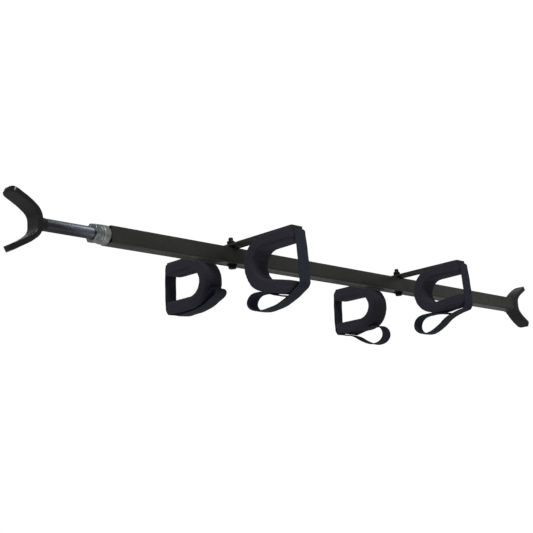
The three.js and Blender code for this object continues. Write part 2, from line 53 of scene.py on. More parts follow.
# ---------------------------------------------------------------- driving values, in metres
GAP = 0.3 * MM
ARM_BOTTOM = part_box("cross_arm_1")[0].z
ARM_X = {n: (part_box(f"cross_arm_{n}")[0].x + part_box(f"cross_arm_{n}")[1].x) / 2 for n in (1, 2)}
TUBE_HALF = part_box("main_tube")[1].z
SEATS = [mount["pos_m"][0] for mount in frame["record"]["mounts"]]

# the cradle's C, as [out, up]: out is the distance from the arm's pivot
CRADLE_OUT = 104 * MM
CRADLE_UP = -33 * MM
CRADLE_RADIUS = 31 * MM
PAD_THICK = 17 * MM
PAD_WIDTH = 46 * MM
PAD_TIP_OUT = 180 * MM
PAD_TIP_SLOPE = (7 * MM, 10 * MM)  # the open end's top corner is cut back: outward, and in height
PAD_VOXEL = 4 * MM
PAD_OVERSIZE = 1.9 * MM  # the pad starts this much larger, because smoothing and subdividing shrink it
PAD_SIDE_OVERSIZE = 3.5 * MM  # and this much wider; its sides are then pressed flat at PAD_WIDTH
PAD_TIP_TAPER = 16 * MM  # its tips narrow to the strap over this length
PAD_TIP_NARROWING = 0.34  # and lose this share of their width at the very end
PAD_BACK_START = 102  # degrees round the C where the pad's back leaves the arm
PAD_TOP_START = 2 * MM  # the flat top starts this far outward from CRADLE_OUT
PAD_SMOOTHING = 1
PAD_SWELL = 1.4 * MM  # the furthest a point may swell
SWELL_PRESSURE = 4
SWELL_FRAMES = 20

STRAP_WIDTH = 30 * MM
STRAP_THICK = 2 * MM
STRAP_STEP = 2 * MM  # distance between the rings of a strap's mesh
STRAP_TOP_START = 152 * MM  # the strap lies flat under the arm from here
STRAP_TOP_END = 164 * MM  # to here
STRAP_TOP_OUT = 183 * MM  # where it turns down past the arm's tip
STRAP_TOP_BEND = 8 * MM
STRAP_LOW_OUT = 186.5 * MM  # its furthest out, at STRAP_LOW_UP
STRAP_LOW_UP = -50 * MM
STRAP_HIGH_UP = -25 * MM  # where it has still STRAP_HIGH_INSET to move out
STRAP_HIGH_INSET = 1 * MM
STRAP_LOW_BEND = (20 * MM, 16 * MM)  # how far it takes to turn in under the lip: outward, and in height
RIPPLE = 0.25 * MM  # the strap's faces wave by this much
RIPPLE_RATE = 0.35  # radians of wave for each ring
STITCH_INSET = 3 * MM  # from the strap's edge
STITCH_EVERY = 2  # rings of the strap's mesh
STITCH_HALF_LENGTH = 1.3 * MM
STITCH_HALF_WIDTH = 0.35 * MM
STITCH_RISE = 0.25 * MM
BAR_TACK = ((162, -86), (165, -98))  # its two ends on the drooping lip, outward and in height, in mm
BAR_TACK_STITCHES = 10
TACK_HALF_LENGTH = (1.7 * MM, 0.5 * MM)  # outward, and in height
TACK_HALF_WIDTH = 0.8 * MM
TACK_RISE = 0.6 * MM
TACK_SEARCH = 5 * MM  # the pad's side is looked for this near each stitch

SADDLE_WIDTH = 31.75 * MM
SADDLE_THICK = 6.35 * MM
SEAT_HALF = 4 * MM  # half the height of the flat in the middle of the seat
SADDLE_BENDS = ((26 * MM, 50, 16), (120 * MM, 12, 8))  # radius, degrees turned and steps: tight, then gentle
DIP = 1 * MM
DIP_VOXEL = 1.1 * MM
DIP_SMOOTHING = 2
SLEEVE = 16 * MM  # how far the dip runs up the rod or the tube
SLEEVE_START = 0.2 * MM  # it starts this far under the surface, so that its edge doesn't show
SLEEVE_LEAD = 4 * MM  # and has come up through it after this length
TUBE_FLARE = 6 * MM  # the dip's flare from tube to saddle
ROD_FLARE = 4.5 * MM
FLARE_PROFILE = ((-0.7, 0), (-0.3, 0.3), (0, 0.8))  # in shares of the flare: along the bar, and outward
ROD_SLEEVE_SIDES = 32
DIP_FULL = 0.9 * MM  # the dip is this much fuller than the CAD's on the bent bar
TIP_BEAD = 0.8 * MM  # and it drains into a bead at each tip
WING_LENGTH = 28.5 * MM
WING_TIP_ROUND = 13 * MM  # the wing narrows over this length
WING_END_ROUND = 5 * MM  # and thins over this one
WING_TIP_SHARE = 0.15  # of its width, at the very tip
WING_END_SHARE = 0.2  # of its thickness, at the very tip
WING_RINGS = (0.25, 0.4, 0.55, 0.68, 0.78, 0.86, 0.92, 0.96, 0.98, 0.99, 1.0)  # closer towards the tip

ROD_RADIUS = 11.1 * MM
THREAD_PITCH = 25.4 / 14 * MM
THREAD_DEPTH = 0.3 * MM
THREAD_FLAT = 0.12  # share of the pitch that is flat at the crest, and again at the root
THREAD_RINGS = 8  # rings of mesh in each turn
ROD_SIDES = 40
ROD_END_LENGTH = 2 * MM  # the thread's crests are turned down over this length at each end
ROD_END_DEPTH = 1.4 * MM

EASED_EDGE = 0.35 * MM  # rounding given to the edges of the CAD nodes
EASED_ANGLE = 32  # degrees; facets of a round part meet at less
WELD_DISTANCE = 0.01 * MM

# How each cradle and its strap lie.
# droop: degrees the lower lip hangs; sag: how far the C is drawn down
# plump: the foam's bulge under the lip; slip: how far the pad has slid outward
# corner: how far the lip's bottom corner is cut back, along the lip and as a share of its tip
# low: the height where the strap turns in under the lip; loop: the pull loop's centre line in mm
LIES = {
    "drooping": {
        "droop": 13, "sag": 5 * MM, "plump": 2.5 * MM, "corner": (12 * MM, 0.45), "low": -84 * MM,
        "loop": [
            (152, -110), (126, -119), (98, -123), (72, -122), (55, -115), (48, -105),
            (52, -95), (64, -88.5), (84, -88), (104, -94), (126, -102), (151.4, -107.8),
        ],
    },
    "hanging": {
        "droop": 0, "sag": 0, "plump": 2.5 * MM, "corner": (5 * MM, 0.3), "low": -74 * MM,
        "loop": [
            (146, -94), (128, -102), (112, -112), (96, -120.5), (78, -125), (60, -123), (48, -113),
            (46, -101), (53, -90), (68, -83.7), (86, -82.9), (108, -84.5), (128, -89), (145.4, -91.8),
        ],
    },
    "tucked": {
        "droop": 0, "sag": 0, "plump": 2.5 * MM, "corner": (5 * MM, 0.3), "low": -72 * MM,
        "loop": [
            (150, -90.5), (125, -90.5), (98, -88.7), (77, -84.5), (57, -77), (41, -70), (35.5, -63),
            (39, -56.5), (48, -54.5), (57, -58.5), (65, -66.5), (75, -75.5), (89, -82), (104, -84.3),
            (126, -86.6), (149.5, -88.2),
        ],
    },
}
# this lip is held up a little off its strap, so light shows between them
LIES["lifted"] = {**LIES["hanging"], "droop": -6, "plump": 0, "slip": 4 * MM}
CRADLES = [
    {"name": "1a", "arm": 1, "side": -1, "lie": "drooping"},
    {"name": "1b", "arm": 1, "side": 1, "lie": "tucked"},
    {"name": "2a", "arm": 2, "side": -1, "lie": "lifted"},
    {"name": "2b", "arm": 2, "side": 1, "lie": "hanging"},
]


# ---------------------------------------------------------------- node helpers
def new_material(name, **inputs):
    material = bpy.data.materials.new(name)
    material.use_nodes = True
    shader = material.node_tree.nodes["Principled BSDF"]
    for label, value in inputs.items():
        shader.inputs[label.replace("_", " ")].default_value = value
    return material, material.node_tree, shader


def coordinates(tree, kind="Object"):
    return tree.nodes.new("ShaderNodeTexCoord").outputs[kind]


def stretched(tree, vector, scale):
    mapping = tree.nodes.new("ShaderNodeMapping")
    mapping.inputs["Scale"].default_value = scale
    tree.links.new(vector, mapping.inputs["Vector"])
    return mapping.outputs["Vector"]


# `scale` is in features for each metre.
def noise(tree, vector, scale, detail=3.0, roughness=0.5):
    node = tree.nodes.new("ShaderNodeTexNoise")
    node.inputs["Scale"].default_value = scale
    node.inputs["Detail"].default_value = detail
    node.inputs["Roughness"].default_value = roughness
    tree.links.new(vector, node.inputs["Vector"])
    return node.outputs["Fac"]


# Runs from one colour to the other as the factor goes from `start` to `end`.
def two_tone(tree, factor, first, second, start=0.3, end=0.7):
    node = tree.nodes.new("ShaderNodeValToRGB")
    elements = node.color_ramp.elements
    for element, place, colour in zip(elements, (start, end), (first, second)):
        element.position = place
        element.color = (*colour, 1)
    tree.links.new(factor, node.inputs["Fac"])
    return node.outputs["Color"]


# The same between two greys, `low` and `high`.
def grey(tree, factor, low, high, start=0.0, end=1.0):
    return two_tone(tree, factor, (low,) * 3, (high,) * 3, start, end)


def math_node(tree, operation, *values):
    node = tree.nodes.new("ShaderNodeMath")
    node.operation = operation
    for socket, value in zip(node.inputs, values):
        if isinstance(value, (int, float)):
            socket.default_value = value
        else:
            tree.links.new(value, socket)
    return node.outputs["Value"]


def colour_socket(sockets, name):
    return next(s for s in sockets if s.name == name and s.type == "RGBA")


# Covers what is below with a colour, as far as the factor says.
def covered(tree, factor, below, colour):
    node = tree.nodes.new("ShaderNodeMix")
    node.data_type = "RGBA"
    tree.links.new(factor, node.inputs["Factor"])
    tree.links.new(below, colour_socket(node.inputs, "A"))
    colour_socket(node.inputs, "B").default_value = (*colour, 1)
    return colour_socket(node.outputs, "Result")


# `after` is a bump that this one lies on.
def bump(tree, height, distance, strength=1.0, after=None):
    node = tree.nodes.new("ShaderNodeBump")
    node.inputs["Strength"].default_value = strength
    node.inputs["Distance"].default_value = distance
    tree.links.new(height, node.inputs["Height"])
    if after is not None:
        tree.links.new(after, node.inputs["Normal"])
    return node.outputs["Normal"]


def join(tree, shader, **sockets):
    for label, value in sockets.items():
        tree.links.new(value, shader.inputs[label.replace("_", " ")])


# How much the surface turns within `radius`: 0 on a flat, rising at an edge.
def edges(tree, radius):
    bevel = tree.nodes.new("ShaderNodeBevel")
    bevel.inputs["Radius"].default_value = radius
    normal = tree.nodes.new("ShaderNodeNewGeometry").outputs["Normal"]
    dot = tree.nodes.new("ShaderNodeVectorMath")
    dot.operation = "DOT_PRODUCT"
    tree.links.new(bevel.outputs["Normal"], dot.inputs[0])
    tree.links.new(normal, dot.inputs[1])
    return math_node(tree, "SUBTRACT", 1.0, dot.outputs["Value"])


# ---------------------------------------------------------------- materials
# Satin olive-black paint with a dark grain; the black along its corners is painted shade, a dark reflection
# painted onto the rounded corners.
def powder_coat():
    material, tree, shader = new_material("powder_coat", Specular_IOR_Level=0.5)
    place = coordinates(tree)
    mottle = noise(tree, place, 22, detail=4)
    colour = two_tone(tree, mottle, (0.018, 0.018, 0.0155), (0.026, 0.026, 0.0215))
    grain = grey(tree, noise(tree, place, 300, roughness=0.6), 0, 0.55, 0.45, 0.7)
    colour = covered(tree, grain, colour, (0.009, 0.009, 0.0075))
    # painted shade: the rounded corners are blackened to stand in for the dark they reflect
    corners = grey(tree, edges(tree, 4.5 * MM), 0, 1, 0.004, 0.07)
    colour = covered(tree, corners, colour, (0.001, 0.001, 0.0015))
    orange_peel = noise(tree, place, 1400, detail=2)
    join(tree, shader, Base_Color=colour, Normal=bump(tree, orange_peel, 0.05 * MM, 0.5),
         Roughness=grey(tree, noise(tree, place, 60, detail=4), 0.30, 0.44, 0.3, 0.7))
    return material


# Glossy black dip with slow waves and fine pits, and a painted shade of bluer black at its edges.
def vinyl():
    material, tree, shader = new_material(
        "vinyl", Specular_IOR_Level=0.10, Coat_Weight=0.6, Coat_Roughness=0.07)
    place = coordinates(tree)
    mottle = noise(tree, place, 45, detail=5)
    colour = two_tone(tree, mottle, (0.0034, 0.0034, 0.0034), (0.0066, 0.0065, 0.0061), 0.35, 0.7)
    # painted shade: the rounded edges are coloured a darker, bluer black to stand in for shade on them
    painted_rim_shade = grey(tree, edges(tree, 3 * MM), 0, 1, 0.02, 0.25)
    colour = covered(tree, painted_rim_shade, colour, (0.004, 0.0035, 0.006))
    waves = noise(tree, place, 55, detail=2)
    pits = noise(tree, place, 900, detail=2)
    surface = bump(tree, pits, 0.03 * MM, 0.5, after=bump(tree, waves, 0.5 * MM, 0.6))
    join(tree, shader, Base_Color=colour, Normal=surface,
         Roughness=grey(tree, noise(tree, place, 80, detail=4), 0.42, 0.58, 0.3, 0.7))
    return material


# Zinc plate with a spangle, scaled by `grain` on each axis, and scratches along the X axis.
def plated(name, dark, light, roughness=(0.26, 0.46), grain=(1, 1, 1)):
    material, tree, shader = new_material(name, Metallic=1.0)
    place = coordinates(tree)
    spangle = noise(tree, stretched(tree, place, grain), 130, detail=5, roughness=0.6)
    scratches = noise(tree, stretched(tree, place, (60, 900, 900)), 1)
    join(tree, shader, Base_Color=two_tone(tree, spangle, dark, light),
         Roughness=grey(tree, noise(tree, place, 210, detail=4), *roughness, 0.3, 0.7),
         Normal=bump(tree, scratches, 0.03 * MM, 0.5))
    return material, tree, shader, place


# The screw's plating, with the saddle's black dip fading out along it in a speckled edge. The black reaches
# further along the underside: that part is painted shade, darkening the rod's lower half.
def screw_plating():
    fade_start = SEATS[1] + 22 * MM
    fade_length = 100 * MM
    speckle_size = 1.2
    material, tree, shader, place = plated(
        "screw_plating", (0.15, 0.17, 0.195), (0.27, 0.30, 0.335), (0.36, 0.46), grain=(0.08, 1, 1))
    split = tree.nodes.new("ShaderNodeSeparateXYZ")
    tree.links.new(place, split.inputs["Vector"])
    past_start = math_node(tree, "SUBTRACT", split.outputs["X"], fade_start)
    along = math_node(tree, "DIVIDE", past_start, fade_length)
    specks = math_node(tree, "SUBTRACT", noise(tree, place, 420, detail=4), 0.5)
    speckle = math_node(tree, "MULTIPLY", specks, speckle_size)
    # painted shade: the black reaches further along the rod's underside, to darken its lower half
    below = math_node(tree, "MULTIPLY", split.outputs["Z"], -0.5 / ROD_RADIUS)
    reach = math_node(tree, "ADD", below, 1.0)
    dip_and_underside_shade = math_node(tree, "SUBTRACT", reach, math_node(tree, "ADD", along, speckle))
    plating = shader.inputs["Base Color"].links[0].from_socket
    # the dip's real black, together with the painted shade along the underside
    dip = grey(tree, dip_and_underside_shade, 0, 1, 0.15, 0.75)
    join(tree, shader, Base_Color=covered(tree, dip, plating, (0.010, 0.009, 0.014)),
         Metallic=grey(tree, dip_and_underside_shade, 1, 0, 0.15, 0.75))
    return material


# Brushed fabric over foam: short fuzz on a fine knit, with worn paler patches and darker tufts.
def pad_fabric():
    material, tree, shader = new_material(
        "pad_fabric", Specular_IOR_Level=0.2,
        Sheen_Weight=0.12, Sheen_Roughness=0.55, Sheen_Tint=(0.55, 0.55, 0.7, 1))
    place = coordinates(tree)
    fuzz = noise(tree, place, 1500, detail=5, roughness=0.7)
    knit = tree.nodes.new("ShaderNodeTexVoronoi")
    knit.inputs["Scale"].default_value = 850
    tree.links.new(place, knit.inputs["Vector"])
    patches = noise(tree, place, 70, detail=5)
    colour = two_tone(tree, fuzz, (0.014, 0.013, 0.019), (0.040, 0.037, 0.053), 0.3, 0.75)
    colour = covered(tree, grey(tree, patches, 0, 0.4, 0.45, 0.75), colour, (0.036, 0.035, 0.048))
    tufts = grey(tree, noise(tree, place, 330, roughness=0.6), 0, 0.6, 0.48, 0.68)
    colour = covered(tree, tufts, colour, (0.009, 0.0085, 0.0125))
    knitted = bump(tree, knit.outputs["Distance"], 0.35 * MM, 0.5)
    surface = bump(tree, fuzz, 0.5 * MM, 0.7, after=knitted)
    join(tree, shader, Base_Color=colour, Normal=surface,
         Roughness=grey(tree, patches, 0.86, 0.98, 0.3, 0.7))
    return material


# Plain weave in the strap's own coordinates: U runs along it and V across it, both in metres.
def webbing():
    weft_pitch = 1.6 * MM
    warp_pitch = 1.1 * MM
    turn = 2 * math.pi
    material, tree, shader = new_material(
        "webbing", Specular_IOR_Level=0.25,
        Sheen_Weight=0.05, Sheen_Roughness=0.5, Sheen_Tint=(0.5, 0.6, 0.85, 1))
    split = tree.nodes.new("ShaderNodeSeparateXYZ")
    tree.links.new(coordinates(tree, "UV"), split.inputs["Vector"])
    weft = math_node(tree, "SINE", math_node(tree, "MULTIPLY", split.outputs["X"], turn / weft_pitch))
    warp = math_node(tree, "SINE", math_node(tree, "MULTIPLY", split.outputs["Y"], turn / warp_pitch))
    weave = math_node(tree, "MULTIPLY_ADD", math_node(tree, "MULTIPLY", weft, warp), 0.5, 0.5)
    place = coordinates(tree)
    fuzz = noise(tree, place, 1700, detail=4, roughness=0.7)
    colour = two_tone(tree, weave, (0.0105, 0.0118, 0.0175), (0.0205, 0.0243, 0.039), 0.1, 0.9)
    worn = grey(tree, noise(tree, place, 90, detail=4), 0, 0.35, 0.4, 0.75)
    colour = covered(tree, worn, colour, (0.031, 0.037, 0.052))
    surface = bump(tree, fuzz, 0.25 * MM, 0.5, after=bump(tree, weave, 0.3 * MM, 0.8))
    join(tree, shader, Base_Color=colour, Normal=surface,
         Roughness=grey(tree, fuzz, 0.75, 0.95, 0.3, 0.7))
    return material


def thread_material():
    material, tree, shader = new_material("thread", Roughness=0.7)
    twist = noise(tree, coordinates(tree), 2500)
    join(tree, shader, Base_Color=two_tone(tree, twist, (0.020, 0.021, 0.028), (0.065, 0.068, 0.082)),
         Normal=bump(tree, twist, 0.1 * MM))
    return material


# Near-black steel, paler where its edges are worn.
def blackened_steel():
    material, tree, shader = new_material("blackened_steel", Specular_IOR_Level=0.18)
    place = coordinates(tree)
    mottle = noise(tree, place, 260, detail=4)
    worn = grey(tree, edges(tree, 0.8 * MM), 0, 0.5, 0.1, 0.35)
    black = grey(tree, mottle, 0.002, 0.006, 0.3, 0.7)
    join(tree, shader, Base_Color=covered(tree, worn, black, (0.018, 0.018, 0.018)),
         Normal=bump(tree, noise(tree, place, 900), 0.04 * MM, 0.5),
         Roughness=grey(tree, mottle, 0.38, 0.55, 0.3, 0.7))
    return material


def moulded_nylon():
    material, tree, shader = new_material("moulded_nylon", Specular_IOR_Level=0.4)
    place = coordinates(tree)
    grain = noise(tree, place, 1100)
    join(tree, shader, Base_Color=grey(tree, noise(tree, place, 80), 0.012, 0.022, 0.3, 0.7),
         Roughness=grey(tree, grain, 0.45, 0.6), Normal=bump(tree, grain, 0.06 * MM, 0.5))
    return material


MATERIALS = {
    "coat": powder_coat(),
    "vinyl": vinyl(),
    "zinc": plated("zinc_plate", (0.13, 0.155, 0.16), (0.40, 0.445, 0.45), (0.20, 0.38))[0],
    "yellow_zinc": plated("passivated_zinc", (0.22, 0.235, 0.22), (0.52, 0.54, 0.50))[0],
    "dark_steel": blackened_steel(),
    "nylon": moulded_nylon(),
    "foam": pad_fabric(),
    "webbing": webbing(),
    "thread": thread_material(),
    "screw": screw_plating(),
}


# ---------------------------------------------------------------- mesh helpers
def mesh_object(name, vertices, faces, material, uvs=None, smooth=True):
    mesh = bpy.data.meshes.new(name)
    mesh.from_pydata([tuple(v) for v in vertices], [], faces)
    if uvs is not None:
        layer = mesh.uv_layers.new(name="along")
        for loop in mesh.loops:
            layer.data[loop.index].uv = uvs[loop.vertex_index]
    mesh.polygons.foreach_set("use_smooth", [smooth] * len(mesh.polygons))
    piece = bpy.data.objects.new(name, mesh)
    bpy.context.scene.collection.objects.link(piece)
    mesh.materials.append(material)
    return piece


# Quads that join each ring of `count` vertices to the next, the rings starting at vertex `first`.
def ring_faces(rings, count, first=0):
    faces = []
    for ring in range(rings - 1):
        a = first + ring * count
        b = a + count
        faces += [(a + j, a + (j + 1) % count, b + (j + 1) % count, b + j) for j in range(count)]
    return faces


# The same, closed by a flat face at each end.
def capped_faces(rings, count):
    last = (rings - 1) * count
    caps = [tuple(range(count)), tuple(reversed(range(last, last + count)))]
    return ring_faces(rings, count) + caps


# Replaces a piece's mesh by what its modifiers make of it.
def apply_modifiers(piece):
    bpy.context.view_layer.update()
    graph = bpy.context.evaluated_depsgraph_get()
    mesh = bpy.data.meshes.new_from_object(piece.evaluated_get(graph))
    material = piece.data.materials[0]
    piece.modifiers.clear()
    piece.data = mesh
    if not mesh.materials:
        mesh.materials.append(material)
    mesh.polygons.foreach_set("use_smooth", [True] * len(mesh.polygons))


def voxel_remesh(piece, size, smoothing):
    remesh = piece.modifiers.new("remesh", "REMESH")
    remesh.mode = "VOXEL"
    remesh.voxel_size = size
    relax = piece.modifiers.new("relax", "SMOOTH")
    relax.iterations = smoothing
    apply_modifiers(piece)


def arc(centre, radius_a, radius_b, start, end, steps):
    turns = [math.radians(start + (end - start) * i / steps) for i in range(steps + 1)]
    return [(centre[0] + radius_a * math.cos(t), centre[1] + radius_b * math.sin(t)) for t in turns]


# A smooth curve through the points, with `steps` stretches between each two.
def smooth_curve(points, steps=10):
    ends = [points[0], *points, points[-1]]
    curve = []
    for i in range(1, len(ends) - 2):
        a, b, c, d = (Vector(p) for p in ends[i - 1:i + 3])
        for step in range(steps):
            t = step / steps
            curve.append(0.5 * (2 * b + (c - a) * t + (2 * a - 5 * b + 4 * c - d) * t ** 2
                                + (3 * b - a - 3 * c + d) * t ** 3))
    return [*curve, Vector(points[-1])]


# The same line with its points a set distance apart.
def evenly(points, step):
    points = [Vector(p) for p in points]
    spaced = [points[0]]
    left = step
    for a, b in zip(points, points[1:]):
        length = (b - a).length
        gone = 0.0
        while length - gone >= left:
            gone += left
            spaced.append(a.lerp(b, gone / length))
            left = step
        left -= length - gone
    return spaced


# ---------------------------------------------------------------- straps
# The strap's centre line, as [out, up]: under the arm, across the mouth, and round the pull loop.
def strap_line(lie):
    shape = LIES[lie]
    top = ARM_BOTTOM - GAP - STRAP_THICK / 2
    top_centre = (STRAP_TOP_OUT - STRAP_TOP_BEND, top - STRAP_TOP_BEND)
    low_centre = (STRAP_LOW_OUT - STRAP_LOW_BEND[0], shape["low"])
    loop = [(a * MM, b * MM) for a, b in shape["loop"]]
    run = [
        (STRAP_TOP_START, top), (STRAP_TOP_END, top),
        *arc(top_centre, STRAP_TOP_BEND, STRAP_TOP_BEND, 75, 10, 4),
        (STRAP_LOW_OUT - STRAP_HIGH_INSET, STRAP_HIGH_UP), (STRAP_LOW_OUT, STRAP_LOW_UP),
        *arc(low_centre, *STRAP_LOW_BEND, 0, -55, 4),
    ]
    return evenly(smooth_curve([*run, *loop]), STRAP_STEP)


# The cross-section, as (across, through) for each corner of the ring, with rounded edges.
def strap_section(half_width, half_thick, columns=10):
    edge = half_width - half_thick
    across = [-edge + 2 * edge * i / columns for i in range(columns + 1)]
    upper = [(a, half_thick) for a in across]
    lower = [(a, -half_thick) for a in reversed(across)]
    shoulder = (half_width - 0.3 * half_thick, 0.7 * half_thick)
    right = [shoulder, (half_width, 0), (shoulder[0], -shoulder[1])]
    left = [(-a, -b) for a, b in right]
    return [*upper, *right, *lower, *left]


# The direction across the line at each of its points.
def directions(line):
    found = []
    for i in range(len(line)):
        a, b = line[max(i - 1, 0)], line[min(i + 1, len(line) - 1)]
        along = (b - a).normalized()
        found.append(Vector((-along.y, along.x)))
    return found


def add_strap(name, arm, side, lie):
    line = strap_line(lie)
    normals = directions(line)
    ring = strap_section(STRAP_WIDTH / 2, STRAP_THICK / 2)
    vertices = []
    uvs = []
    for i, (point, normal) in enumerate(zip(line, normals)):
        ripple = RIPPLE * math.sin(i * RIPPLE_RATE)
        for across, through in ring:
            bow = ripple * math.cos(across / STRAP_WIDTH * math.pi * 2)
            place = point + normal * (through + bow)
            vertices.append((ARM_X[arm] + across, side * place.x, place.y))
            uvs.append((i * STRAP_STEP, across))
    faces = capped_faces(len(line), len(ring))
    strap = mesh_object(f"webbing_strap_{name}", vertices, faces, MATERIALS["webbing"], uvs)
    face_outwards(strap)
    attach(strap, f"arm_{arm}")
    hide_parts(f"strap_{name}")
    add_strap_stitches(name, arm, side, line, normals)


# One stitch lying on a surface: a low ridge along `along`, rising by `up`.
def add_stitch(vertices, faces, middle, along, across, up):
    first = len(vertices)
    vertices += [middle - along, middle - across, middle + across, middle + along, middle + up]
    faces += [(first + a, first + b, first + 4) for a, b in ((0, 1), (1, 3), (3, 2), (2, 0))]
    faces.append((first, first + 2, first + 3, first + 1))


def finish_stitches(name, arm, vertices, faces):
    stitches = mesh_object(name, vertices, faces, MATERIALS["thread"])
    face_outwards(stitches)
    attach(stitches, f"arm_{arm}")


# Two rows of stitches beside the strap's edges, on both faces.
def add_strap_stitches(name, arm, side, line, normals):
    vertices = []
    faces = []
    inset = STRAP_WIDTH / 2 - STITCH_INSET
    across = Vector((STITCH_HALF_WIDTH, 0, 0))
    for i in range(1, len(line) - 2, STITCH_EVERY):
        middle = line[i].lerp(line[i + 1], 0.5)
        run = (line[i + 1] - line[i]).normalized() * STITCH_HALF_LENGTH
        along = Vector((0, side * run.x, run.y))
        out = Vector((0, side * normals[i].x, normals[i].y))
        for face in (1, -1):
            for row in (-inset, inset):
                base = Vector((ARM_X[arm] + row, side * middle.x, middle.y)) + out * face * STRAP_THICK / 2
                add_stitch(vertices, faces, base, along, across, out * face * STITCH_RISE)
    finish_stitches(f"strap_stitches_{name}", arm, vertices, faces)


# A bar tack of close stitches on the side of the drooping lip, just inside its tip.
def add_bar_tack(name, arm, side, pad):
    vertices = []
    faces = []
    start, end = (Vector(place) * MM for place in BAR_TACK)
    along = Vector((0, side * TACK_HALF_LENGTH[0], TACK_HALF_LENGTH[1]))
    across = Vector((0, 0, TACK_HALF_WIDTH))
    up = Vector((-TACK_RISE, 0, 0))
    for i in range(BAR_TACK_STITCHES):
        place = start.lerp(end, i / (BAR_TACK_STITCHES - 1))
        middle = Vector((0, side * place.x, place.y))
        near = [v.co.x for v in pad.data.vertices if (v.co.yz - middle.yz).length < TACK_SEARCH]
        middle.x = min(near)
        add_stitch(vertices, faces, middle, along, across, up)
    finish_stitches(f"bar_tack_{name}", arm, vertices, faces)


def face_outwards(piece):
    shape = bmesh.new()
    shape.from_mesh(piece.data)
    bmesh.ops.recalc_face_normals(shape, faces=shape.faces)
    shape.to_mesh(piece.data)
    shape.free()


# ---------------------------------------------------------------- pads
# The end of a line of this length that hangs from `start` by `droop` degrees.
def lip_end(start, length, droop):
    turn = math.radians(droop)
    return (start[0] + length * math.cos(turn), start[1] - length * math.sin(turn))


# The pad's closed outline, as [out, up]: from the top of the open end round the back, along under the
# lower lip, and back round the inside.
def pad_outline(lie, inset):
    droop, sag, plump = (LIES[lie][key] for key in ("droop", "sag", "plump"))
    centre = (CRADLE_OUT + LIES[lie].get("slip", 0), CRADLE_UP)
    outer = CRADLE_RADIUS + PAD_THICK - inset
    inner = CRADLE_RADIUS + inset
    top = ARM_BOTTOM - GAP - inset
    tip = PAD_TIP_OUT - inset
    lip_start = 270 - droop
    back = [
        *arc(centre, outer, outer, PAD_BACK_START, 180, 10),
        *arc(centre, outer, outer + sag + plump, 180, lip_start, 12)[1:],
    ]
    inside = [
        *arc(centre, inner, inner + sag, lip_start, 180, 10),
        *arc(centre, inner, inner, 180, 90, 8)[1:],
    ]
    length = tip - centre[0]
    outer_tip = lip_end(back[-1], length, droop)
    inner_tip = lip_end(inside[0], length, droop)
    corner_cut, corner_share = LIES[lie]["corner"]
    corner = [
        tuple(Vector(outer_tip).lerp(Vector(back[-1]), corner_cut / length)),
        tuple(Vector(outer_tip).lerp(Vector(inner_tip), corner_share)),
    ]
    sloped = [
        (tip, top - PAD_TIP_SLOPE[1]),
        (tip - PAD_TIP_SLOPE[0], top),
        (CRADLE_OUT + PAD_TOP_START, top),
    ]
    return [*sloped, *back, *corner, inner_tip, *inside, (tip, centre[1] + inner)]


# Blows the pads up as cloth for a moment, and keeps each point within PAD_SWELL of where it was.
def swell(pads):
    for pad in pads:
        cloth = pad.modifiers.new("cloth", "CLOTH")
        cloth.settings.use_pressure = True
        cloth.settings.uniform_pressure_force = SWELL_PRESSURE
        cloth.settings.effector_weights.gravity = 0
        cloth.settings.quality = 5
    before = {pad.name: [v.co.copy() for v in pad.data.vertices] for pad in pads}
    for step in range(1, SWELL_FRAMES + 1):
        bpy.context.scene.frame_set(step)
    for pad in pads:
        apply_modifiers(pad)
        for vertex, start in zip(pad.data.vertices, before[pad.name]):
            moved = vertex.co - start
            if moved.length > PAD_SWELL:
                vertex.co = start + moved.normalized() * PAD_SWELL
    bpy.context.scene.frame_set(1)


# A pad about the arm's own middle, before it is swollen and trimmed.
def pad_blank(name, lie):
    outline = pad_outline(lie, -PAD_OVERSIZE)
    half = PAD_WIDTH / 2 + PAD_SIDE_OVERSIZE
    vertices = [(x, a, b) for x in (-half, half) for a, b in outline]
    faces = capped_faces(2, len(outline))
    pad = mesh_object(name, vertices, faces, MATERIALS["foam"])
    face_outwards(pad)
    voxel_remesh(pad, PAD_VOXEL, PAD_SMOOTHING)
    return pad


# Presses the pad's sides flat and narrows the tip of each lip towards the strap.
def trim_pad(pad):
    for lower in (False, True):
        lip = [v for v in pad.data.vertices if (v.co.z < CRADLE_UP) == lower]
        reach = max(v.co.y for v in lip)
        for vertex in lip:
            near_tip = min(max((vertex.co.y - reach) / PAD_TIP_TAPER + 1, 0), 1)
            half = PAD_WIDTH / 2
            vertex.co.x = min(max(vertex.co.x, -half), half) * (1 - PAD_TIP_NARROWING * near_tip ** 2)


def add_pads():
    shapes = {lie: pad_blank(f"blank_{lie}", lie) for lie in LIES}
    swell(list(shapes.values()))
    for shape in shapes.values():
        trim_pad(shape)
    top = ARM_BOTTOM - GAP
    for cradle in CRADLES:
        mesh = shapes[cradle["lie"]].data.copy()
        for vertex in mesh.vertices:
            x, out, up = vertex.co
            vertex.co = (ARM_X[cradle["arm"]] + x, cradle["side"] * out, min(up, top))
        pad = bpy.data.objects.new(f"foam_pad_{cradle['name']}", mesh)
        bpy.context.scene.collection.objects.link(pad)
        face_outwards(pad)
        subdivision = pad.modifiers.new("subdivision", "SUBSURF")
        subdivision.levels = subdivision.render_levels = 1
        apply_modifiers(pad)
        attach(pad, f"arm_{cradle['arm']}")
        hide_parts(f"pad_{cradle['name']}")
        if cradle["lie"] == "drooping":
            add_bar_tack(cradle["name"], cradle["arm"], cradle["side"], pad)
    for source in shapes.values():
        bpy.data.objects.remove(source)


# ---------------------------------------------------------------- dipped saddles
def towards(heading):
    return Vector((math.cos(math.radians(heading)), math.sin(math.radians(heading))))


